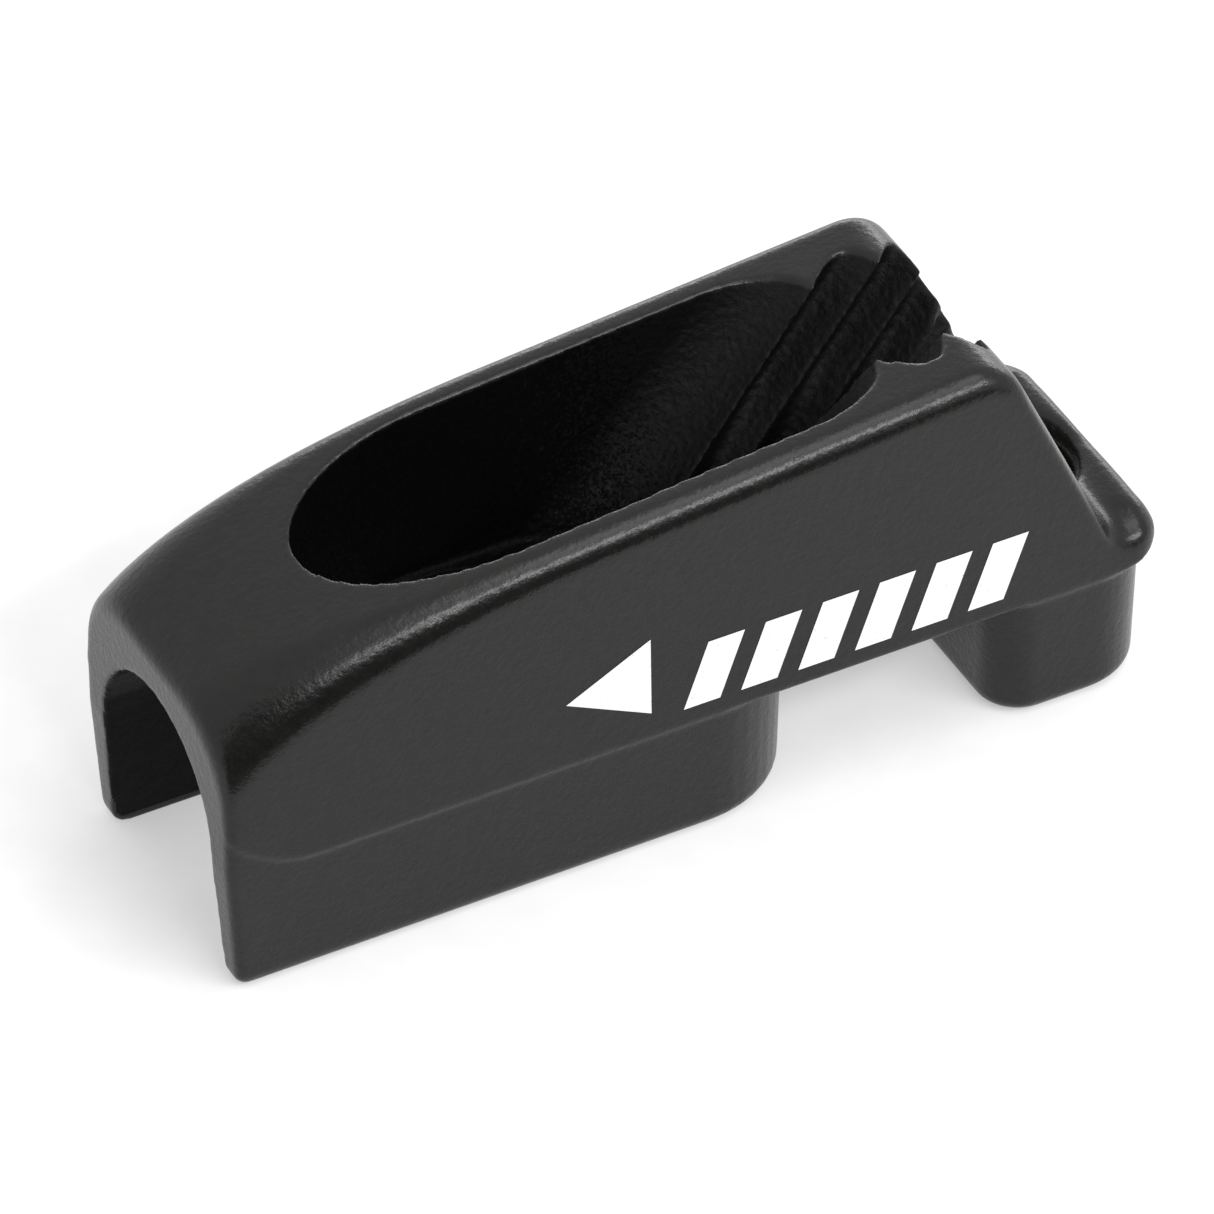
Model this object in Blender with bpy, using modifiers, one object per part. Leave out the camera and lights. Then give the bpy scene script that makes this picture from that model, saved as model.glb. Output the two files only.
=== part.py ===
"""Jam cleat with a built-in fairlead tunnel, for rope of about 6 to 8 mm.

One casting on two feet. The rope enters under the arch at the front, climbs through
the open pocket and is pulled down between two ribbed jaws that close like a V. Two
countersunk screws hold the feet down.

Frame: metres, +X from the arched front to the rear, +Z up, Y = 0 is the plane of
symmetry. Z = 0 is the sole of both feet and X = 0 is the middle of the length.
"""
import math

import bmesh
import bpy

MM = 0.001

# ---- driving dimensions of the casting ----
BODY_LENGTH = 67.2 * MM
BODY_WIDTH = 20.6 * MM
PEAK_HEIGHT = 29.1 * MM
FRONT_HEIGHT = 20.1 * MM
SHOULDER_HEIGHT = 26.4 * MM
SHOULDER_RUN = 26.0 * MM
BOW_START_RUN = 0.13
BOW_START_RISE = 0.50
BOW_END_RUN = 0.45
LEDGE_HEIGHT = 9.5 * MM
LEDGE_STEP = 0.15 * MM
LEDGE_FRONT_RISE = 3.2 * MM
LEDGE_FRONT_RUN = 6.0 * MM
LEDGE_REAR_RISE = 1.5 * MM
LEDGE_REAR_RUN = 4.0 * MM
SIDE_DRAFT = math.radians(1.3)
VALLEY_HEIGHT = 12.2 * MM
LIP_HEIGHT = 13.7 * MM
LIP_RUN = 3.7 * MM
LIP_ACROSS = 4.4 * MM
LIP_DOWN = 1.9 * MM
REAR_SLOPE = math.radians(65)
PEAK_RADIUS = 3.4 * MM
SLOPE_FOOT_RADIUS = 1.9 * MM
END_RADIUS = 1.4 * MM
END_TAPER = 0.01 * MM
FRONT_EDGE_RADIUS = 0.6 * MM
REAR_CORNER_RADIUS = 2.4 * MM
CORNER_FRONT_ACROSS = 6.2 * MM
CORNER_FRONT_DOWN = 5.6 * MM
CORNER_REAR = 1.6 * MM
CORNER_RUN = 34.0 * MM
CORNER_ACROSS_FADE = 3.0
CORNER_DOWN_FADE = 2.7
CORNER_SHARE_OF_HEIGHT = 0.8

# ---- feet ----
FRONT_FOOT_END = 42.0 * MM
FRONT_FOOT_CORNER = 7.4 * MM
REAR_FOOT_START = 54.9 * MM
REAR_FOOT_CORNER = 2.8 * MM
REAR_FOOT_REAR_CORNER = 4.6 * MM
REAR_OVERHANG = 0.2 * MM
FOOT_DRAFT = math.radians(1.0)
FRONT_LEAN = math.radians(3.4)
SOLE_EDGE_RADIUS = 1.0 * MM
FOOT_ROOT = 0.4 * MM

# ---- rope way ----
TUNNEL_WALL = 2.8 * MM
TUNNEL_AXIS_HEIGHT = 9.7 * MM
TUNNEL_FLARE = math.radians(3)
TUNNEL_RUN = 28.0 * MM
TUNNEL_END_CORNER = 5.0 * MM
TUNNEL_END_PINCH = 0.8
POCKET_START = 10.2 * MM
POCKET_WALL = 2.8 * MM
POCKET_NOSE_RUN = 12.0 * MM
POCKET_MIN_STRAIGHT = 1.0 * MM
POCKET_NECK_RUN = 6.2 * MM
JAW_START = 49.5 * MM
JAW_HALF_GAP = 4.1 * MM
JAW_FLOOR_HEIGHT = 12.8 * MM
JAW_FLOOR_HALF_WIDTH = 1.2 * MM
RIB_PITCH = 4.5 * MM
RIB_DEPTH = 2.1 * MM
RIB_RAKE = math.radians(46.5)
RIB_CREST_SHARE = 0.66
RIB_FLOOR_SHARE = 0.25
RIB_FADE = 1.5
SPARE_RIBS = 5

# ---- screws ----
SCREW_FRONT = 33.8 * MM
SCREW_SPACING = 27.0 * MM
SCREW_SHANK_RADIUS = 2.4 * MM
SCREW_HEAD_RADIUS = 4.3 * MM
SCREW_HEAD_RIM = 0.4 * MM
SCREW_TIP_RUN = 2.4 * MM
SCREW_TIP_ABOVE_SOLE = 0.5 * MM
SEAT_BELOW_FLOOR = 1.0 * MM
SPOT_FACE_RADIUS = 4.8 * MM
RECESS_WIDTH = 1.0 * MM
RECESS_SPAN = 4.4 * MM
RECESS_DEPTH = 1.6 * MM
CLEARANCE = 0.3 * MM

# ---- mesh fineness ----
CORNER_STEPS = 10
EDGE_STEPS = 4
PROFILE_STEPS = 16
FLANK_STEPS = 6
RIB_STEPS = 10
NECK_STEPS = 10
NOSE_STEPS = 20
TURN_STEPS = 32
OVERCUT = 2.0 * MM
STATION_GAP = 0.2 * MM

HALF_WIDTH = BODY_WIDTH / 2
TUNNEL_RADIUS = HALF_WIDTH - TUNNEL_WALL
POCKET_HALF_WIDTH = HALF_WIDTH - POCKET_WALL
FRONT_X = -BODY_LENGTH / 2


def new_collection(name):
    collection = bpy.data.collections.new(name)
    bpy.context.scene.collection.children.link(collection)
    return collection


def material(name, colour, roughness, metallic):
    made = bpy.data.materials.new(name)
    made.use_nodes = True
    shader = made.node_tree.nodes["Principled BSDF"]
    shader.inputs["Base Color"].default_value = (*colour, 1)
    shader.inputs["Roughness"].default_value = roughness
    shader.inputs["Metallic"].default_value = metallic
    return made


def object_from(bm, name, collection, paint=None):
    """Turns a bmesh into a named object with its faces pointing out."""
    bmesh.ops.recalc_face_normals(bm, faces=bm.faces)
    mesh = bpy.data.meshes.new(name)
    bm.to_mesh(mesh)
    bm.free()
    made = bpy.data.objects.new(name, mesh)
    collection.objects.link(made)
    if paint:
        mesh.materials.append(paint)
    return made


def loft(rings):
    """Closed solid through rings that all have the same number of points."""
    bm = bmesh.new()
    rows = [[bm.verts.new(point) for point in ring] for ring in rings]
    for low, high in zip(rows, rows[1:]):
        for i in range(len(low)):
            j = (i + 1) % len(low)
            bm.faces.new((low[i], low[j], high[j], high[i]))
    bm.faces.new(reversed(rows[0]))
    bm.faces.new(rows[-1])
    return bm


def boolean(target, cutter, operation):
    step = target.modifiers.new(operation.title() + "_" + cutter.name, "BOOLEAN")
    step.object = cutter
    step.operation = operation
    step.solver = "EXACT"


def as_cutter(made):
    made.hide_render = True
    made.display_type = "WIRE"
    return made


def round_path(points, radii):
    """The polyline through the points, with an arc of each inner corner's radius."""
    path = [points[0]]
    for (ax, az), (bx, bz), (cx, cz), radius in zip(points, points[1:], points[2:], radii):
        into = math.atan2(bz - az, bx - ax)
        out = math.atan2(cz - bz, cx - bx)
        turn = out - into
        reach = radius * math.tan(abs(turn) / 2)
        side = math.copysign(1, turn)
        start = (bx - reach * math.cos(into), bz - reach * math.sin(into))
        centre_x = start[0] - side * radius * math.sin(into)
        centre_z = start[1] + side * radius * math.cos(into)
        for k in range(CORNER_STEPS + 1):
            angle = into + turn * k / CORNER_STEPS
            path.append((centre_x + side * radius * math.sin(angle),
                         centre_z - side * radius * math.cos(angle)))
    path.append(points[-1])
    return path


# ---- the upper body: sections across X, from the arch to the rear end ----

def crown_path():
    """(x, z) along the top of the casting, measured from the front face."""
    fall = math.tan(REAR_SLOPE)
    rise = (PEAK_HEIGHT - SHOULDER_HEIGHT) / (peak_x() - SHOULDER_RUN)
    bow = ((0.0, FRONT_HEIGHT),
           (SHOULDER_RUN * BOW_START_RUN,
            FRONT_HEIGHT + (SHOULDER_HEIGHT - FRONT_HEIGHT) * BOW_START_RISE),
           (SHOULDER_RUN * BOW_END_RUN,
            SHOULDER_HEIGHT - rise * SHOULDER_RUN * (1 - BOW_END_RUN)),
           (SHOULDER_RUN, SHOULDER_HEIGHT))
    front = []
    for k in range(PROFILE_STEPS):
        t = k / PROFILE_STEPS
        weights = ((1 - t) ** 3, 3 * t * (1 - t) ** 2, 3 * t * t * (1 - t), t ** 3)
        front.append(tuple(sum(w * p[i] for w, p in zip(weights, bow)) for i in (0, 1)))
    slope_foot = peak_x() + (PEAK_HEIGHT - VALLEY_HEIGHT) / fall
    corners = [(SHOULDER_RUN, SHOULDER_HEIGHT), (peak_x(), PEAK_HEIGHT),
               (slope_foot, VALLEY_HEIGHT), (BODY_LENGTH, LIP_HEIGHT),
               (BODY_LENGTH + END_TAPER, LEDGE_HEIGHT + LEDGE_REAR_RISE + LEDGE_STEP)]
    return front + round_path(corners, (PEAK_RADIUS, SLOPE_FOOT_RADIUS, END_RADIUS))


def peak_x():
    """Where the top and the rear slope would meet if the peak were sharp."""
    return BODY_LENGTH - LIP_RUN - (PEAK_HEIGHT - VALLEY_HEIGHT) / math.tan(REAR_SLOPE)


def inset(distance, radius):
    """How far a rounded edge of this radius stands back, a distance in from its tip."""
    if distance >= radius:
        return 0.0
    return radius - math.sqrt(radius ** 2 - (radius - distance) ** 2)


def edge_levels(radius):
    """Distances from the tip at which a rounded edge is stepped."""
    return [radius * (1 - math.cos(math.pi / 2 * k / EDGE_STEPS)) for k in range(EDGE_STEPS + 1)]


def ledge_at(x):
    """Height of the ledge, which sweeps up a little towards both ends."""
    front = max(0.0, 1 - x / LEDGE_FRONT_RUN)
    rear = max(0.0, 1 - (BODY_LENGTH - x) / LEDGE_REAR_RUN)
    return LEDGE_HEIGHT + LEDGE_FRONT_RISE * front ** 2 + LEDGE_REAR_RISE * rear ** 2


def section(x, top):
    """One ring across the upper body: flat base, drafted sides, oval shoulders.

    The shoulders are broad at the arch, tight along the jaws and broad again on the lip.
    """
    base = ledge_at(x)
    back = inset(x, FRONT_EDGE_RADIUS) + inset(BODY_LENGTH - x, REAR_CORNER_RADIUS)
    half = HALF_WIDTH - back
    top -= inset(x, FRONT_EDGE_RADIUS)
    left = max(0.0, 1 - x / CORNER_RUN)
    lip = min(1.0, max(0.0, 1 - (BODY_LENGTH - LIP_RUN / 2 - x) / LIP_RUN))
    across = CORNER_REAR + (CORNER_FRONT_ACROSS - CORNER_REAR) * left ** CORNER_ACROSS_FADE
    across += (LIP_ACROSS - CORNER_REAR) * lip
    down = CORNER_REAR + (CORNER_FRONT_DOWN - CORNER_REAR) * left ** CORNER_DOWN_FADE
    down += (LIP_DOWN - CORNER_REAR) * lip
    down = min(down, (top - base) * CORNER_SHARE_OF_HEIGHT)
    half_top = half - (top - LEDGE_HEIGHT) * math.tan(SIDE_DRAFT)
    ring = [(half, base)]
    for k in range(CORNER_STEPS + 1):
        angle = math.pi / 2 * k / CORNER_STEPS
        ring.append((half_top - across * (1 - math.cos(angle)),
                     top - down * (1 - math.sin(angle))))
    ring += [(-y, z) for y, z in reversed(ring)]
    return [(FRONT_X + x, y, z) for y, z in ring]


def front_edge_stations(path):
    """Adds the stations that round the front edge to the crown's own."""
    edge = [(x, crown_at(path, x)) for x in edge_levels(FRONT_EDGE_RADIUS)]
    return edge + [point for point in path if point[0] > FRONT_EDGE_RADIUS + STATION_GAP]


def crown_at(path, x):
    for (ax, az), (bx, bz) in zip(path, path[1:]):
        if ax <= x <= bx:
            return az + (bz - az) * (x - ax) / (bx - ax)
    return path[-1][1]


def upper_body(collection, paint):
    stations = front_edge_stations(crown_path())
    stations = [(min(x, BODY_LENGTH - END_TAPER), z) for x, z in stations]
    return object_from(loft([section(x, z) for x, z in stations]), "cleat_body", collection, paint)


# ---- feet: outlines stacked in Z ----

def foot_ring(z, start, end, half, corner_start, corner_end):
    """Rounded rectangle at height z; its corners differ at the two ends."""
    ring = []
    corner_start = min(corner_start, half)
    corner_end = min(corner_end, half)
    centres = ((end - corner_end, half - corner_end, corner_end, 0),
               (start + corner_start, half - corner_start, corner_start, 1),
               (start + corner_start, corner_start - half, corner_start, 2),
               (end - corner_end, corner_end - half, corner_end, 3))
    for cx, cy, radius, quarter in centres:
        for k in range(CORNER_STEPS + 1):
            angle = math.pi / 2 * (quarter + k / CORNER_STEPS)
            ring.append((FRONT_X + cx + radius * math.cos(angle),
                         cy + radius * math.sin(angle), z))
    return ring


def foot(name, collection, start, end, root, lean, corner_start, corner_end):
    """A drafted foot from the sole up to its root in the body, with a rounded sole edge."""
    rings = []
    for z in edge_levels(SOLE_EDGE_RADIUS) + [LEDGE_HEIGHT, root]:
        below = max(0.0, LEDGE_HEIGHT - z)
        edge = inset(z, SOLE_EDGE_RADIUS)
        back = below * math.tan(FOOT_DRAFT) + edge
        rings.append(foot_ring(z, start + below * math.tan(lean) + edge, end - back,
                               HALF_WIDTH - LEDGE_STEP - back, corner_start, corner_end))
    return as_cutter(object_from(loft(rings), name, collection))


# ---- the rope way ----

def rib(share):
    """How far the jaw wall stands back between two crests, from 0 at one to 0 at the next."""
    share %= 1.0
    if share < RIB_CREST_SHARE:
        return RIB_DEPTH * math.sin(math.pi / 2 * share / RIB_CREST_SHARE)
    return RIB_DEPTH * math.cos(math.pi / 2 * (share - RIB_CREST_SHARE) / (1 - RIB_CREST_SHARE))


def jaw_half_gap(z):
    """Half the clear width between the crests at height z: the V."""
    share = (z - JAW_FLOOR_HEIGHT) / (PEAK_HEIGHT - JAW_FLOOR_HEIGHT)
    return JAW_FLOOR_HALF_WIDTH + (JAW_HALF_GAP - JAW_FLOOR_HALF_WIDTH) * share


def way_ring(z, rib_depth_share):
    """Outline of the pocket and the jaws at height z."""
    jaw = JAW_START - (PEAK_HEIGHT - z) / math.tan(RIB_RAKE)
    neck = jaw - POCKET_NECK_RUN
    gap = jaw_half_gap(z)
    nose = min(POCKET_NOSE_RUN, neck - POCKET_START - POCKET_MIN_STRAIGHT)
    side = []
    for k in range(NOSE_STEPS + 1):
        angle = math.pi / 2 * k / NOSE_STEPS
        side.append((POCKET_START + nose * (1 - math.cos(angle)),
                     POCKET_HALF_WIDTH * math.sin(angle)))
    for k in range(1, NECK_STEPS + 1):
        angle = math.pi / 2 * k / NECK_STEPS
        side.append((neck + POCKET_NECK_RUN * math.sin(angle),
                     gap + (POCKET_HALF_WIDTH - gap) * math.cos(angle)))
    ribs = math.ceil((BODY_LENGTH - JAW_START) / RIB_PITCH) + SPARE_RIBS
    for k in range(1, ribs * RIB_STEPS + 1):
        share = k / RIB_STEPS
        side.append((jaw + share * RIB_PITCH, gap + rib(share) * rib_depth_share))
    ring = side + [(x, -y) for x, y in reversed(side[1:])]
    return [(FRONT_X + x, y, z) for x, y in ring]


def rope_way(collection):
    """The pocket and the ribbed V as one cutter."""
    top = PEAK_HEIGHT + OVERCUT
    rings = []
    for k in range(FLANK_STEPS + 1):
        share = k / FLANK_STEPS
        z = JAW_FLOOR_HEIGHT + (top - JAW_FLOOR_HEIGHT) * share
        rings.append(way_ring(z, min(1.0, RIB_FLOOR_SHARE + RIB_FADE * share)))
    return as_cutter(object_from(loft(rings), "rope_way", collection))


def tunnel(collection):
    """Arch-shaped way in from the front, open to the sole, closed at the jaws' end."""
    flare = math.tan(TUNNEL_FLARE)
    rings = []
    stations = [-OVERCUT, 0.0, TUNNEL_RUN - TUNNEL_END_CORNER]
    for k in range(1, CORNER_STEPS):
        share = math.sin(math.pi / 2 * k / CORNER_STEPS)
        stations.append(TUNNEL_RUN - TUNNEL_END_CORNER * (1 - share))
    stations.append(TUNNEL_RUN)
    for x in stations:
        radius = TUNNEL_RADIUS - inset(TUNNEL_RUN - x, TUNNEL_END_CORNER) * TUNNEL_END_PINCH
        ring = [(radius + TUNNEL_AXIS_HEIGHT * flare, -OVERCUT)]
        for k in range(TURN_STEPS // 2 + 1):
            angle = math.pi * k / (TURN_STEPS // 2)
            ring.append((radius * math.cos(angle),
                         TUNNEL_AXIS_HEIGHT + radius * math.sin(angle)))
        ring.append((-ring[0][0], -OVERCUT))
        rings.append([(FRONT_X + x, y, z) for y, z in ring])
    return as_cutter(object_from(loft(rings), "tunnel", collection))


# ---- screws and their holes ----

def turned(name, collection, profile, x, paint=None):
    """A turned solid about a vertical axis at x; the profile runs down its outer side."""
    bm = bmesh.new()
    # The first facet straddles the middle plane, so no edge lies along it.
    start = math.pi / TURN_STEPS
    points = [bm.verts.new((radius * math.cos(start), radius * math.sin(start), z))
              for radius, z in profile]
    for upper, lower in zip(points, points[1:]):
        bm.edges.new((upper, lower))
    mesh = bpy.data.meshes.new(name)
    bm.to_mesh(mesh)
    bm.free()
    made = bpy.data.objects.new(name, mesh)
    collection.objects.link(made)
    made.location.x = FRONT_X + x
    spin = made.modifiers.new("Turn", "SCREW")
    spin.steps = TURN_STEPS
    spin.render_steps = TURN_STEPS
    spin.use_merge_vertices = True
    spin.merge_threshold = 0.00001
    spin.use_smooth_shade = True
    if paint:
        mesh.materials.append(paint)
    return made


def head_top():
    return JAW_FLOOR_HEIGHT - SEAT_BELOW_FLOOR


def screw_hole(name, collection, x):
    """Through hole, 90 degree countersink and the room the head needs on its way in."""
    shank = SCREW_SHANK_RADIUS + CLEARANCE
    head = SCREW_HEAD_RADIUS + CLEARANCE
    seat = head_top() - SCREW_HEAD_RIM
    profile = ((0.0, PEAK_HEIGHT + OVERCUT), (SPOT_FACE_RADIUS, PEAK_HEIGHT + OVERCUT),
               (SPOT_FACE_RADIUS, head_top()), (head, head_top()), (head, seat),
               (shank, seat - (head - shank)), (shank, -OVERCUT), (0.0, -OVERCUT))
    return as_cutter(turned(name, collection, profile, x))


def screw(name, parts, cutters, x, paint):
    """Countersunk screw with a cross recess and a pointed tip just above the sole."""
    top = head_top()
    seat = top - SCREW_HEAD_RIM
    cone = SCREW_HEAD_RADIUS - SCREW_SHANK_RADIUS
    profile = ((0.0, top), (SCREW_HEAD_RADIUS, top), (SCREW_HEAD_RADIUS, seat),
               (SCREW_SHANK_RADIUS, seat - cone),
               (SCREW_SHANK_RADIUS, SCREW_TIP_ABOVE_SOLE + SCREW_TIP_RUN),
               (0.0, SCREW_TIP_ABOVE_SOLE))
    made = turned(name, parts, profile, x, paint)
    for turn in (0, 1):
        bm = bmesh.new()
        bmesh.ops.create_cube(bm, size=1)
        size = (RECESS_SPAN, RECESS_WIDTH, 2 * RECESS_DEPTH)
        bmesh.ops.scale(bm, vec=size if turn == 0 else (size[1], size[0], size[2]), verts=bm.verts)
        slot = as_cutter(object_from(bm, f"{name}_slot_{turn + 1}", cutters))
        slot.location = (FRONT_X + x, 0, top)
        boolean(made, slot, "DIFFERENCE")
    return made


def main():
    for old in list(bpy.data.objects):
        bpy.data.objects.remove(old, do_unlink=True)
    parts = new_collection("jam_cleat")
    cutters = new_collection("cutters")
    black = material("black_cast_coating", (0.035, 0.035, 0.034), 0.42, 0.0)
    steel = material("stainless_steel", (0.62, 0.61, 0.59), 0.28, 1.0)

    body = upper_body(parts, black)
    front = foot("front_foot", cutters, 0.0, FRONT_FOOT_END,
                 LEDGE_HEIGHT + LEDGE_FRONT_RISE + FOOT_ROOT, FRONT_LEAN,
                 FRONT_EDGE_RADIUS, FRONT_FOOT_CORNER)
    rear = foot("rear_foot", cutters, REAR_FOOT_START, BODY_LENGTH - REAR_OVERHANG,
                LEDGE_HEIGHT + LEDGE_REAR_RISE + FOOT_ROOT, FOOT_DRAFT,
                REAR_FOOT_CORNER, REAR_FOOT_REAR_CORNER)
    boolean(body, front, "UNION")
    boolean(body, rear, "UNION")
    boolean(body, tunnel(cutters), "DIFFERENCE")
    boolean(body, rope_way(cutters), "DIFFERENCE")
    for name, x in (("front", SCREW_FRONT), ("rear", SCREW_FRONT + SCREW_SPACING)):
        boolean(body, screw_hole(name + "_screw_hole", cutters, x), "DIFFERENCE")
        screw(name + "_screw", parts, cutters, x, steel)
    body.data.shade_smooth()
    body.data.set_sharp_from_angle(angle=math.radians(35))


main()
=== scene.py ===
"""Looks for the jam cleat: the cast body with its fillets and skin, two screws, a printed mark.

Frame: metres, +X from the arched front to the rear lip, +Z up, Y = 0 the plane of symmetry.
"""
import math

import bmesh
import bpy
from mathutils import Matrix, Vector, noise
from mathutils.bvhtree import BVHTree


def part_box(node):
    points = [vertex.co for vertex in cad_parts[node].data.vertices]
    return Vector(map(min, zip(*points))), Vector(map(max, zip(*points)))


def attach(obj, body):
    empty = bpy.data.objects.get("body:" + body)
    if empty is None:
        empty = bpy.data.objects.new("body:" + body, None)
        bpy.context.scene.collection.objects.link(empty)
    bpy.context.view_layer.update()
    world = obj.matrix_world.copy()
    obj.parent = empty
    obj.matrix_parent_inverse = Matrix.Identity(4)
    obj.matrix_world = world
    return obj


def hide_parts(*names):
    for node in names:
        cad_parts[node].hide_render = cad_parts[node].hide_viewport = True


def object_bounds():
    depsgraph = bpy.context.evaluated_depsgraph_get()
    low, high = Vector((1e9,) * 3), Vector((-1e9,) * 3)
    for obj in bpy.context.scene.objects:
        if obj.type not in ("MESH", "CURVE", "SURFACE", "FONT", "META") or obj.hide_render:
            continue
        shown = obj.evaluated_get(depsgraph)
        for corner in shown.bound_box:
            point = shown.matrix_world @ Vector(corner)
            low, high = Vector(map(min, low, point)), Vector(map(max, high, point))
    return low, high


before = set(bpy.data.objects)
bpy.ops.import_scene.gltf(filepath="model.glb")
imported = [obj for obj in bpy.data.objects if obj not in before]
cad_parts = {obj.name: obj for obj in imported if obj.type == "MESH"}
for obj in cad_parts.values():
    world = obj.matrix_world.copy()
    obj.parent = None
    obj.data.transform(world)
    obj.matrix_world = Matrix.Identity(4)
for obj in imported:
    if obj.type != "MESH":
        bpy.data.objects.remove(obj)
CAD_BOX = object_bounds()

MM = 0.001
LOW = Vector(CAD_BOX[0])
HIGH = Vector(CAD_BOX[1])
CENTRE = (LOW + HIGH) / 2
LENGTH = HIGH.x - LOW.x
HALF_WIDTH = (HIGH.y - LOW.y) / 2

# ---- camera ----
CAMERA_AZIMUTH = math.radians(-27.875)
CAMERA_ELEVATION = math.radians(40.106)
CAMERA_ROLL = math.radians(-0.077)
CAMERA_DISTANCE = 659.2 * MM
CAMERA_LENS = 307.63
AIM_FROM_CENTRE = Vector((-1.64, 0.14, -2.87)) * MM

# ---- light and floor ----
WORLD_STRENGTH = 0.9
FLOOR_GLOW = 0.39
FLOOR_SIZE = 3.0
# Softboxes: name, azimuth and elevation in degrees, distance, width and height in metres, watts.
SOFTBOXES = (("strip", -74, 45, 0.6, 0.50, 0.05, 2.2),
             ("overhead", -40, 72, 0.6, 0.35, 0.25, 0.8),
             ("horizon", 52, 9, 0.7, 0.75, 0.13, 1.3))
# Dark card beside the object: its plane, and its corners as (x, z) in mm, lower to the rear.
CARD_Y = -64 * MM
CARD_OUTLINE = ((-140, 0.5), (5, 0.5), (50, 18), (80, 22), (80, 26), (5, 56), (-60, 88), (-140, 150))

# ---- body skin ----
OUTSIDE_GLOSS = 0.33
# Pocket and jaws coatings are darker, less glossy copies of the outside one: painted shade, strongest in
# the pocket.
POCKET_GLOSS = 0.06
JAWS_GLOSS = 0.17
VOXEL = 0.17 * MM
SMOOTH_FACTOR = 0.5
FILLET_PASSES = 10
DISH_PASSES = 180
DISH_START = LOW.x + 57.0 * MM
DISH_HALF_WIDTH = 7.6 * MM
DISH_HEIGHTS = (10.6 * MM, 21.0 * MM)
DISH_FADE = 1.5 * MM
SLICE = 0.25 * MM
WAY_START = LOW.x + 9.5 * MM
WAY_END = LOW.x + 61.0 * MM
WAY_FADE = 2.0 * MM
WAY_HALF_WIDTH = 7.9 * MM
WAY_BOTTOM = 12.2 * MM
WAY_AXIS_START = LOW.x + 17.0 * MM
POCKET_RIM = (1.0 * MM, 2.0 * MM)
JAWS_RIM = (0.12 * MM, 0.35 * MM)
RIM_STEEP = 0.10
RIM_FLAT = 0.45
RIM_OUTWARD = -0.25
RIM_SIDEWAYS = -0.05
RELIEF_DEPTHS = (0.3 * MM, 1.2 * MM)
JAWS_START = LOW.x + 20.0 * MM
JAWS_FULL = LOW.x + 50.0 * MM
TUNNEL_END = LOW.x + 28.5 * MM
TUNNEL_AXIS = 9.7 * MM
TUNNEL_REACH = 8.1 * MM
TUNNEL_FACING = 0.4
SPECK_CELL = 0.18 * MM
SPECK_LOW = 0.1
SPECK_HIGH = 0.9
SKIN_CELL = 0.40 * MM
SKIN_RELIEF = 0.05 * MM

# ---- screws ----
TURN_STEPS = 64
SHANK_RADIUS = 2.4 * MM
HEAD_RIM = 0.4 * MM
RIM_CHAMFER = 0.12 * MM
THREAD_PITCH = 0.8 * MM
THREAD_DEPTH = 0.45 * MM
STEPS_PER_TURN = 8
TIP_RUN = 2.4 * MM
TIP_BLUNT = 0.2 * MM
TIP_RADIUS = 0.1 * MM
RECESS_SPAN = 4.4 * MM
RECESS_WIDTH = 1.1 * MM
RECESS_DEPTH = 1.6 * MM
RECESS_TAPER = 0.62
SHARP_ANGLE = math.radians(30)

# ---- printed mark ----
MARK_BOTTOM = 10.9 * MM
MARK_HEIGHT = 4.8 * MM
MARK_START = LOW.x + 31.9 * MM
STRIPE_COUNT = 6
STRIPE_WIDTH = 2.6 * MM
STRIPE_GAP = 1.5 * MM
STRIPE_LEAN = 1.8 * MM
ARROW_TIP = LOW.x + 23.6 * MM
ARROW_LENGTH = 6.0 * MM
ARROW_RISE = 0.75 * MARK_HEIGHT
ARROW_HALF_WIDTH = 0.62 * MARK_HEIGHT
MARK_LIFT = 0.03 * MM
MARK_GRID = 0.2 * MM


def smoothstep(low, high, value):
    share = min(1.0, max(0.0, (value - low) / (high - low)))
    return share * share * (3 - 2 * share)


# ---- materials ----

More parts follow.
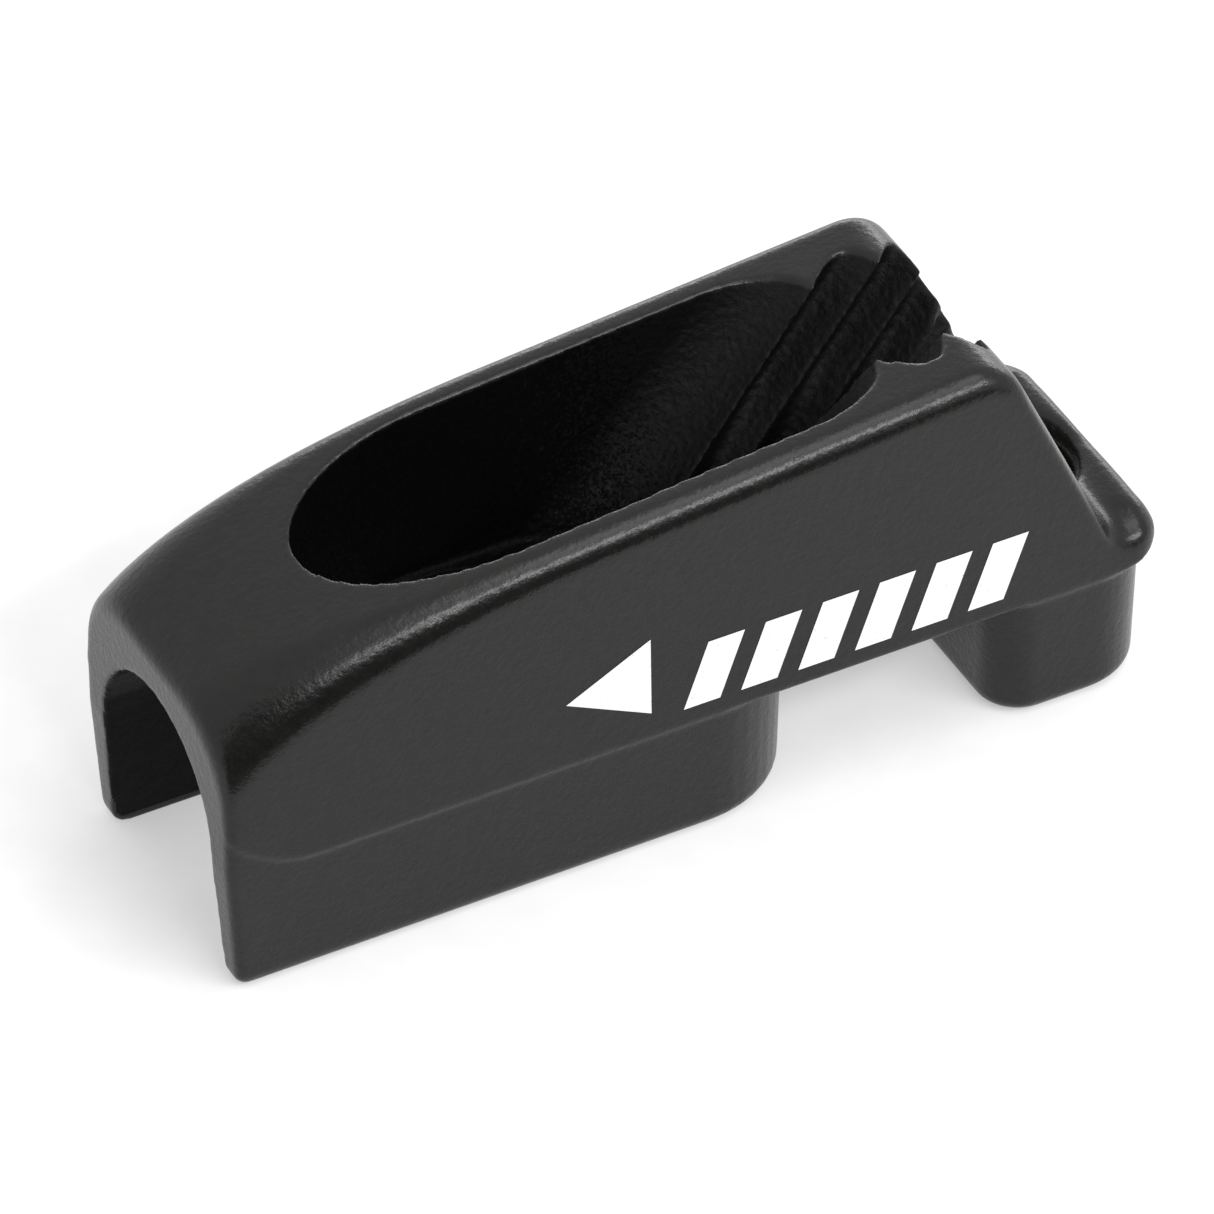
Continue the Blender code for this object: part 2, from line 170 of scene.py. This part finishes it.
class Nodes:
    """Small helper that builds a material's node tree in object coordinates, in metres."""

    def __init__(self, name):
        self.material = bpy.data.materials.new(name)
        self.material.use_nodes = True
        self.tree = self.material.node_tree
        self.shader = self.tree.nodes["Principled BSDF"]
        self.coordinates = self.tree.nodes.new("ShaderNodeTexCoord").outputs["Object"]

    def link(self, out, into):
        self.tree.links.new(out, into)

    def noise(self, size, detail=2.0, roughness=0.5):
        """Noise with cells of about this size in metres."""
        node = self.tree.nodes.new("ShaderNodeTexNoise")
        node.inputs["Scale"].default_value = 1 / size
        node.inputs["Detail"].default_value = detail
        node.inputs["Roughness"].default_value = roughness
        self.link(self.coordinates, node.inputs["Vector"])
        return node.outputs["Fac"]

    def ramp(self, value, low, high, start, end):
        """Maps value from low..high to start..end."""
        node = self.tree.nodes.new("ShaderNodeMapRange")
        for name, number in (("From Min", low), ("From Max", high), ("To Min", start), ("To Max", end)):
            node.inputs[name].default_value = number
        self.link(value, node.inputs["Value"])
        return node.outputs["Result"]

    def mix(self, factor, first, second):
        """Mixes two colours or sockets by a factor socket."""
        node = self.tree.nodes.new("ShaderNodeMix")
        node.data_type = "RGBA"
        self.link(factor, node.inputs["Factor"])
        for value, socket in ((first, node.inputs["A"]), (second, node.inputs["B"])):
            if isinstance(value, tuple):
                socket.default_value = (*value, 1)
            else:
                self.link(value, socket)
        return node.outputs["Result"]

    def blend(self, factor, first, second):
        """Mixes two number sockets by a factor socket."""
        node = self.tree.nodes.new("ShaderNodeMix")
        self.link(factor, node.inputs["Factor"])
        self.link(first, node.inputs["A"])
        self.link(second, node.inputs["B"])
        return node.outputs["Result"]

    def attribute(self, name):
        node = self.tree.nodes.new("ShaderNodeAttribute")
        node.attribute_name = name
        return node.outputs["Fac"]

    def bump(self, height, distance, strength=1.0, after=None):
        node = self.tree.nodes.new("ShaderNodeBump")
        node.inputs["Strength"].default_value = strength
        node.inputs["Distance"].default_value = distance
        self.link(height, node.inputs["Height"])
        if after:
            self.link(after, node.inputs["Normal"])
        return node.outputs["Normal"]

    def finish(self, colour, roughness, normal=None, metallic=0.0, specular=0.5):
        self.link(colour, self.shader.inputs["Base Color"])
        self.link(roughness, self.shader.inputs["Roughness"])
        if normal:
            self.link(normal, self.shader.inputs["Normal"])
        self.shader.inputs["Metallic"].default_value = metallic
        self.shader.inputs["Specular IOR Level"].default_value = specular
        return self.material


def coating_material(name, gloss):
    """Satin black coating over a fine cast skin; grainier in the rope way, where the colour is darkened as
    painted shade, most in the pocket and less in the jaws.
    """
    nodes = Nodes(name)
    inner = nodes.attribute("rope_way")
    mottle = nodes.noise(0.9 * MM, detail=4.0, roughness=0.6)
    grain = nodes.noise(0.22 * MM, detail=3.0, roughness=0.65)
    pits = nodes.noise(0.34 * MM, detail=4.0, roughness=0.75)
    mottled = nodes.ramp(mottle, 0.3, 0.7, 0.0, 1.0)
    outside = nodes.mix(mottled, (0.0050, 0.0052, 0.0048), (0.0075, 0.0078, 0.0070))
    pitted = nodes.ramp(pits, 0.42, 0.72, 0.0, 1.0)
    # Painted shade: the pocket colour is near black because the pocket lies in shade.
    pocket = nodes.mix(pitted, (0.0003, 0.0003, 0.0006), (0.0020, 0.0020, 0.0022))
    # Jaws colour: partly rough cast grain and partly painted shade, lighter than the pocket.
    jaws = nodes.mix(pitted, (0.0015, 0.0015, 0.0018), (0.0050, 0.0050, 0.0050))
    inside = nodes.mix(nodes.attribute("jaws"), pocket, jaws)
    colour = nodes.mix(inner, outside, inside)
    satin = nodes.ramp(grain, 0.3, 0.7, 0.22, 0.32)
    rough = nodes.ramp(pits, 0.35, 0.75, 0.60, 0.42)
    roughness = nodes.blend(inner, satin, rough)
    peel = nodes.bump(nodes.noise(0.48 * MM, detail=2.0), 0.036 * MM)
    fine = nodes.bump(grain, 0.016 * MM, after=peel)
    coarse = nodes.bump(pits, 0.10 * MM)
    normal = nodes.tree.nodes.new("ShaderNodeMix")
    normal.data_type = "VECTOR"
    nodes.link(inner, normal.inputs["Factor"])
    nodes.link(fine, normal.inputs[4])
    nodes.link(coarse, normal.inputs[5])
    return nodes.finish(colour, roughness, normal.outputs[1], specular=gloss)


def ink_material():
    """White pad-printed ink, a little thin and pitted where the cast skin shows through."""
    nodes = Nodes("white_ink")
    patches = nodes.noise(0.30 * MM, detail=4.0, roughness=0.7)
    colour = nodes.mix(nodes.ramp(patches, 0.28, 0.40, 0.0, 1.0), (0.42, 0.42, 0.42), (0.72, 0.72, 0.73))
    roughness = nodes.ramp(patches, 0.3, 0.7, 0.5, 0.65)
    return nodes.finish(colour, roughness, nodes.bump(patches, 0.008 * MM))


def steel_material():
    """Turned stainless steel with fine circular tool marks and faint staining."""
    nodes = Nodes("stainless_steel")
    stain = nodes.noise(1.6 * MM, detail=4.0, roughness=0.6)
    scratches = nodes.noise(0.10 * MM, detail=2.0)
    colour = nodes.mix(nodes.ramp(stain, 0.35, 0.7, 0.0, 1.0), (0.56, 0.55, 0.53), (0.68, 0.67, 0.65))
    roughness = nodes.ramp(scratches, 0.3, 0.7, 0.22, 0.38)
    return nodes.finish(colour, roughness, nodes.bump(scratches, 0.004 * MM), metallic=1.0)


def floor_material():
    nodes = Nodes("floor_paper")
    speck = nodes.noise(4 * MM, detail=3.0)
    colour = nodes.mix(nodes.ramp(speck, 0.3, 0.7, 0.0, 1.0), (0.52, 0.52, 0.52), (0.55, 0.55, 0.55))
    nodes.shader.inputs["Emission Color"].default_value = (1, 1, 1, 1)
    nodes.shader.inputs["Emission Strength"].default_value = FLOOR_GLOW
    return nodes.finish(colour, nodes.ramp(speck, 0.3, 0.7, 0.85, 0.95), specular=0.0)


# ---- the cast body ----

def crown_profile(mesh):
    """Highest z in each slice along X."""
    tops = [0.0] * (int(LENGTH / SLICE) + 3)
    for vertex in mesh.vertices:
        place = int((vertex.co.x - LOW.x) / SLICE + 0.5)
        tops[place] = max(tops[place], vertex.co.z)
    return tops


def crown_depth(point, tops):
    """How far the point is below the crown."""
    place = (point.x - LOW.x) / SLICE
    low, high = tops[int(place)], tops[int(place) + 1]
    return low + (high - low) * (place - int(place)) - point.z


def in_jaws(point):
    """0 in the pocket, 1 from the first ribs on; it lightens the painted shade of the pocket towards the
    jaws.
    """
    return smoothstep(JAWS_START, JAWS_FULL, point.x)


def in_rope_way(point, normal, tops):
    """1 on the walls and floor of the pocket and jaws, 0 on the outer skin, smooth at the rim; where it is
    1 the coating is rough and darkened as painted shade.
    """
    if not (WAY_START < point.x < WAY_END) or abs(point.y) > WAY_HALF_WIDTH or point.z < WAY_BOTTOM:
        return 0.0
    along = in_jaws(point)
    start, end = (pocket + (jaws - pocket) * along for pocket, jaws in zip(POCKET_RIM, JAWS_RIM))
    depth = smoothstep(start, end, crown_depth(point, tops))
    steep = smoothstep(RIM_FLAT, RIM_STEEP, normal.z)
    to_axis = Vector((max(WAY_AXIS_START - point.x, 0.0), -point.y, 0.0)).normalized()
    inward = smoothstep(RIM_OUTWARD, RIM_SIDEWAYS, normal.dot(to_axis))
    return max(depth, steep) * inward * smoothstep(WAY_END, WAY_END - WAY_FADE, point.x)


def in_tunnel(point, normal):
    """True on the walls of the arched tunnel that leads in from the front, which get the low-gloss pocket
    coating as painted shade.
    """
    if point.x > TUNNEL_END or abs(point.y) > WAY_HALF_WIDTH:
        return False
    to_axis = Vector((0.0, -point.y, min(0.0, TUNNEL_AXIS - point.z)))
    return to_axis.length < TUNNEL_REACH and normal.dot(to_axis) > TUNNEL_FACING * to_axis.length


def in_dish(point):
    """1 in the valley behind the jaws, fading out round it."""
    low, high = DISH_HEIGHTS
    return (smoothstep(DISH_START, DISH_START + DISH_FADE, point.x)
            * smoothstep(DISH_HALF_WIDTH, DISH_HALF_WIDTH - DISH_FADE, abs(point.y))
            * smoothstep(low, low + DISH_FADE, point.z)
            * smoothstep(high, high - DISH_FADE, point.z))


def evaluated_copy(made):
    """Replaces an object's mesh by what its modifiers make of it."""
    mesh = bpy.data.meshes.new_from_object(made.evaluated_get(bpy.context.evaluated_depsgraph_get()))
    made.modifiers.clear()
    made.data = mesh


def fine_copy(node, name):
    """The node's solid remeshed finely and smoothed, which gives its edges cast fillets."""
    made = bpy.data.objects.new(name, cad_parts[node].data.copy())
    bpy.context.scene.collection.objects.link(made)
    remesh = made.modifiers.new("Voxels", "REMESH")
    remesh.mode = "VOXEL"
    remesh.voxel_size = VOXEL
    evaluated_copy(made)
    dish = made.vertex_groups.new(name="dish")
    for vertex in made.data.vertices:
        share = in_dish(vertex.co)
        if share > 0:
            dish.add([vertex.index], share, "REPLACE")
    for label, passes, group in (("Dish", DISH_PASSES, "dish"), ("Fillets", FILLET_PASSES, "")):
        smooth = made.modifiers.new(label, "SMOOTH")
        smooth.factor = SMOOTH_FACTOR
        smooth.iterations = passes
        smooth.vertex_group = group
    evaluated_copy(made)
    made.vertex_groups.clear()
    return made


def cast_body():
    """The casting: three grades of coating, by place, over a skin that is rough in the rope way; the
    rope-way and jaws grades are darker, less glossy copies of the outer one, standing in for painted shade.
    """
    body = fine_copy("cleat_body", "cast_body")
    mesh = body.data
    mesh.materials.clear()
    # Slots: the outer coating, the rope-way copy darkened as painted shade, and the jaws copy with lighter
    # painted shade.
    mesh.materials.append(coating_material("black_cast_coating", OUTSIDE_GLOSS))
    mesh.materials.append(coating_material("black_rope_way_painted_shade", POCKET_GLOSS))
    mesh.materials.append(coating_material("black_jaws_part_shade", JAWS_GLOSS))
    tops = crown_profile(mesh)
    mask = mesh.attributes.new("rope_way", "FLOAT", "POINT")
    jaws_attribute = mesh.attributes.new("jaws", "FLOAT", "POINT")
    normals = [vertex.normal.copy() for vertex in mesh.vertices]
    shares = [in_rope_way(vertex.co, normal, tops) for vertex, normal in zip(mesh.vertices, normals)]
    jaws_shares = [in_jaws(vertex.co) for vertex in mesh.vertices]
    for vertex, normal, share in zip(mesh.vertices, normals, shares):
        if share > 0.5:
            relief = noise.fractal(vertex.co / SKIN_CELL, 1.0, 2.0, 3)
            deep = smoothstep(*RELIEF_DEPTHS, crown_depth(vertex.co, tops))
            vertex.co += normal * (relief * SKIN_RELIEF * deep)
    mask.data.foreach_set("value", shares)
    jaws_attribute.data.foreach_set("value", jaws_shares)
    # Face grades: pocket and tunnel walls get the painted-shade copy, the jaws get the lighter
    # painted-shade copy, with a speckled change between them.
    for face in mesh.polygons:
        way = sum(shares[corner] for corner in face.vertices) > 0.5 * len(face.vertices)
        speck = 0.5 + 0.5 * noise.noise(face.center / SPECK_CELL)
        jaws_grade = way and SPECK_LOW + (SPECK_HIGH - SPECK_LOW) * speck < in_jaws(face.center)
        face.material_index = 2 if jaws_grade else int(way or in_tunnel(face.center, face.normal))
    mesh.shade_smooth()
    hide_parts("cleat_body")
    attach(body, "root")
    return body


# ---- the printed mark ----

def stripe(number):
    """One leaning stripe as (x, z) corners."""
    left = MARK_START + number * (STRIPE_WIDTH + STRIPE_GAP)
    return [(left, MARK_BOTTOM), (left + STRIPE_WIDTH, MARK_BOTTOM),
            (left + STRIPE_WIDTH + STRIPE_LEAN, MARK_BOTTOM + MARK_HEIGHT),
            (left + STRIPE_LEAN, MARK_BOTTOM + MARK_HEIGHT)]


def arrow():
    """A solid triangle that points to the front."""
    middle = MARK_BOTTOM + ARROW_RISE
    return [(ARROW_TIP, middle), (ARROW_TIP + ARROW_LENGTH, middle - ARROW_HALF_WIDTH),
            (ARROW_TIP + ARROW_LENGTH, middle + ARROW_HALF_WIDTH)]


def printed_mark(body, ink):
    """Thin ink film laid on the near side of the casting."""
    surface = BVHTree.FromObject(body, bpy.context.evaluated_depsgraph_get())
    bm = bmesh.new()
    for outline in [arrow()] + [stripe(number) for number in range(STRIPE_COUNT)]:
        bm.faces.new([bm.verts.new((x, -2 * HALF_WIDTH, z)) for x, z in outline])
    cuts = int(MARK_HEIGHT / MARK_GRID)
    for step in range(1, int(LENGTH / MARK_GRID)):
        plane = LOW.x + step * MARK_GRID
        geometry = bm.verts[:] + bm.edges[:] + bm.faces[:]
        bmesh.ops.bisect_plane(bm, geom=geometry, plane_co=(plane, 0, 0), plane_no=(1, 0, 0))
    for step in range(-cuts, 2 * cuts):
        plane = MARK_BOTTOM + step * MARK_GRID
        geometry = bm.verts[:] + bm.edges[:] + bm.faces[:]
        bmesh.ops.bisect_plane(bm, geom=geometry, plane_co=(0, 0, plane), plane_no=(0, 0, 1))
    for vertex in bm.verts:
        hit, normal, _, _ = surface.ray_cast(vertex.co, Vector((0, 1, 0)))
        vertex.co = hit + normal * MARK_LIFT
    bmesh.ops.recalc_face_normals(bm, faces=bm.faces)
    mesh = bpy.data.meshes.new("side_mark")
    bm.to_mesh(mesh)
    bm.free()
    mesh.materials.append(ink)
    mesh.shade_smooth()
    made = bpy.data.objects.new("side_mark", mesh)
    bpy.context.scene.collection.objects.link(made)
    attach(made, "root")


# ---- screws ----

def lathe(rows):
    """Closed turned solid; each row gives (z, radius as a function of the angle), top first."""
    bm = bmesh.new()
    rings = []
    for z, radius in rows:
        ring = []
        for k in range(TURN_STEPS):
            angle = 2 * math.pi * k / TURN_STEPS
            ring.append(bm.verts.new((radius(angle) * math.cos(angle), radius(angle) * math.sin(angle), z)))
        rings.append(ring)
    for upper, lower in zip(rings, rings[1:]):
        for k in range(TURN_STEPS):
            j = (k + 1) % TURN_STEPS
            bm.faces.new((upper[k], lower[k], lower[j], upper[j]))
    bm.faces.new(rings[0])
    bm.faces.new(reversed(rings[-1]))
    return bm


def screw_rows(head, shank, length):
    """Rows of a countersunk screw whose flat top is at z = 0."""
    rows = [(0.0, lambda angle: head - RIM_CHAMFER), (-RIM_CHAMFER, lambda angle: head),
            (-HEAD_RIM, lambda angle: head)]
    neck = HEAD_RIM + head - shank
    rows.append((-neck, lambda angle: shank))
    thread_start = neck + THREAD_PITCH
    tip_start = length - TIP_RUN
    steps = int((length - TIP_BLUNT - thread_start) / THREAD_PITCH * STEPS_PER_TURN)
    for step in range(steps + 1):
        depth = thread_start + step * THREAD_PITCH / STEPS_PER_TURN
        taper = min(1.0, (length - depth) / TIP_RUN) if depth > tip_start else 1.0

        def radius(angle, depth=depth, taper=taper):
            turn = (depth / THREAD_PITCH + angle / (2 * math.pi)) % 1.0
            return max(TIP_RADIUS, (shank - THREAD_DEPTH * abs(2 * turn - 1)) * taper)
        rows.append((-depth, radius))
    return rows


def recess_cutter(name):
    """Tapered cross that the driver fits."""
    bm = bmesh.new()
    for turned in (False, True):
        arm = bmesh.ops.create_cube(bm, size=1)["verts"]
        for vertex in arm:
            deep = vertex.co.z < 0
            across = RECESS_SPAN * (RECESS_TAPER if deep else 1.0)
            wide = RECESS_WIDTH * (RECESS_TAPER if deep else 1.0)
            vertex.co.x *= wide if turned else across
            vertex.co.y *= across if turned else wide
            vertex.co.z = -RECESS_DEPTH if deep else RECESS_DEPTH
    mesh = bpy.data.meshes.new(name)
    bm.to_mesh(mesh)
    bm.free()
    made = bpy.data.objects.new(name, mesh)
    bpy.context.scene.collection.objects.link(made)
    return made


def detailed_screw(node, steel):
    """Threaded countersunk screw with a cross recess, in the place of the plain CAD one."""
    low, high = (Vector(corner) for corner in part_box(node))
    bm = lathe(screw_rows((high.y - low.y) / 2, SHANK_RADIUS, high.z - low.z))
    mesh = bpy.data.meshes.new(node + "_detailed")
    bm.to_mesh(mesh)
    bm.free()
    made = bpy.data.objects.new(node + "_detailed", mesh)
    bpy.context.scene.collection.objects.link(made)
    cutter = recess_cutter(node + "_recess")
    cut = made.modifiers.new("Recess", "BOOLEAN")
    cut.object = cutter
    cut.use_self = True
    evaluated_copy(made)
    bpy.data.objects.remove(cutter, do_unlink=True)
    made.data.transform(Matrix.Translation(((low.x + high.x) / 2, (low.y + high.y) / 2, high.z)))
    made.data.materials.clear()
    made.data.materials.append(steel)
    made.data.shade_smooth()
    made.data.set_sharp_from_angle(angle=SHARP_ANGLE)
    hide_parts(node)
    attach(made, "root")


# ---- camera, light, floor ----

def camera():
    """Camera on the photo's line of sight."""
    back = Vector((math.sin(CAMERA_AZIMUTH) * math.cos(CAMERA_ELEVATION),
                   -math.cos(CAMERA_AZIMUTH) * math.cos(CAMERA_ELEVATION),
                   math.sin(CAMERA_ELEVATION)))
    level = Vector((math.cos(CAMERA_AZIMUTH), math.sin(CAMERA_AZIMUTH), 0.0))
    rise = back.cross(level)
    right = math.cos(CAMERA_ROLL) * level + math.sin(CAMERA_ROLL) * rise
    up = back.cross(right)
    data = bpy.data.cameras.new("camera")
    data.lens = CAMERA_LENS
    data.clip_start = 0.01
    made = bpy.data.objects.new("camera", data)
    bpy.context.scene.collection.objects.link(made)
    turn = Matrix((right, up, back)).transposed().to_4x4()
    place = Matrix.Translation(CENTRE + AIM_FROM_CENTRE + back * CAMERA_DISTANCE)
    made.matrix_world = place @ turn
    bpy.context.scene.camera = made


def softbox(name, azimuth, elevation, distance, width, height, watts):
    """Rectangular light that faces the object from this direction; azimuth 0 is +X."""
    data = bpy.data.lights.new(name, "AREA")
    data.shape = "RECTANGLE"
    data.size = width
    data.size_y = height
    data.energy = watts
    made = bpy.data.objects.new(name, data)
    bpy.context.scene.collection.objects.link(made)
    azimuth, elevation = math.radians(azimuth), math.radians(elevation)
    direction = Vector((math.cos(azimuth) * math.cos(elevation),
                        math.sin(azimuth) * math.cos(elevation), math.sin(elevation)))
    made.matrix_world = (Matrix.Translation(CENTRE + direction * distance)
                         @ direction.to_track_quat("Z", "Y").to_matrix().to_4x4())


def dark_card():
    """Black card beside the object that only its gloss sees, so that rounded edges read."""
    bm = bmesh.new()
    bm.faces.new([bm.verts.new((x * MM, CARD_Y, z * MM)) for x, z in CARD_OUTLINE])
    mesh = bpy.data.meshes.new("dark_card")
    bm.to_mesh(mesh)
    bm.free()
    nodes = Nodes("card_black")
    nodes.shader.inputs["Base Color"].default_value = (0.002, 0.002, 0.002, 1)
    nodes.shader.inputs["Roughness"].default_value = 1.0
    nodes.shader.inputs["Specular IOR Level"].default_value = 0.0
    mesh.materials.append(nodes.material)
    card = bpy.data.objects.new("dark_card", mesh)
    bpy.context.scene.collection.objects.link(card)
    card.visible_camera = False
    card.visible_diffuse = False
    card.visible_shadow = False


def studio():
    """White surroundings, three softboxes, the dark card and a pale floor."""
    world = bpy.data.worlds.new("studio")
    world.use_nodes = True
    world.node_tree.nodes["Background"].inputs["Color"].default_value = (1, 1, 1, 1)
    world.node_tree.nodes["Background"].inputs["Strength"].default_value = WORLD_STRENGTH
    bpy.context.scene.world = world
    for row in SOFTBOXES:
        softbox(*row)
    dark_card()
    floor = bpy.data.objects.new("floor", bpy.data.meshes.new("floor"))
    bm = bmesh.new()
    bmesh.ops.create_grid(bm, x_segments=1, y_segments=1, size=FLOOR_SIZE)
    bm.to_mesh(floor.data)
    bm.free()
    floor.location.z = LOW.z
    floor.data.materials.append(floor_material())
    bpy.context.scene.collection.objects.link(floor)
    bpy.context.scene.view_settings.view_transform = "Standard"


camera()
studio()
cast = cast_body()
printed_mark(cast, ink_material())
steel = steel_material()
for screw in ("front_screw", "rear_screw"):
    detailed_screw(screw, steel)
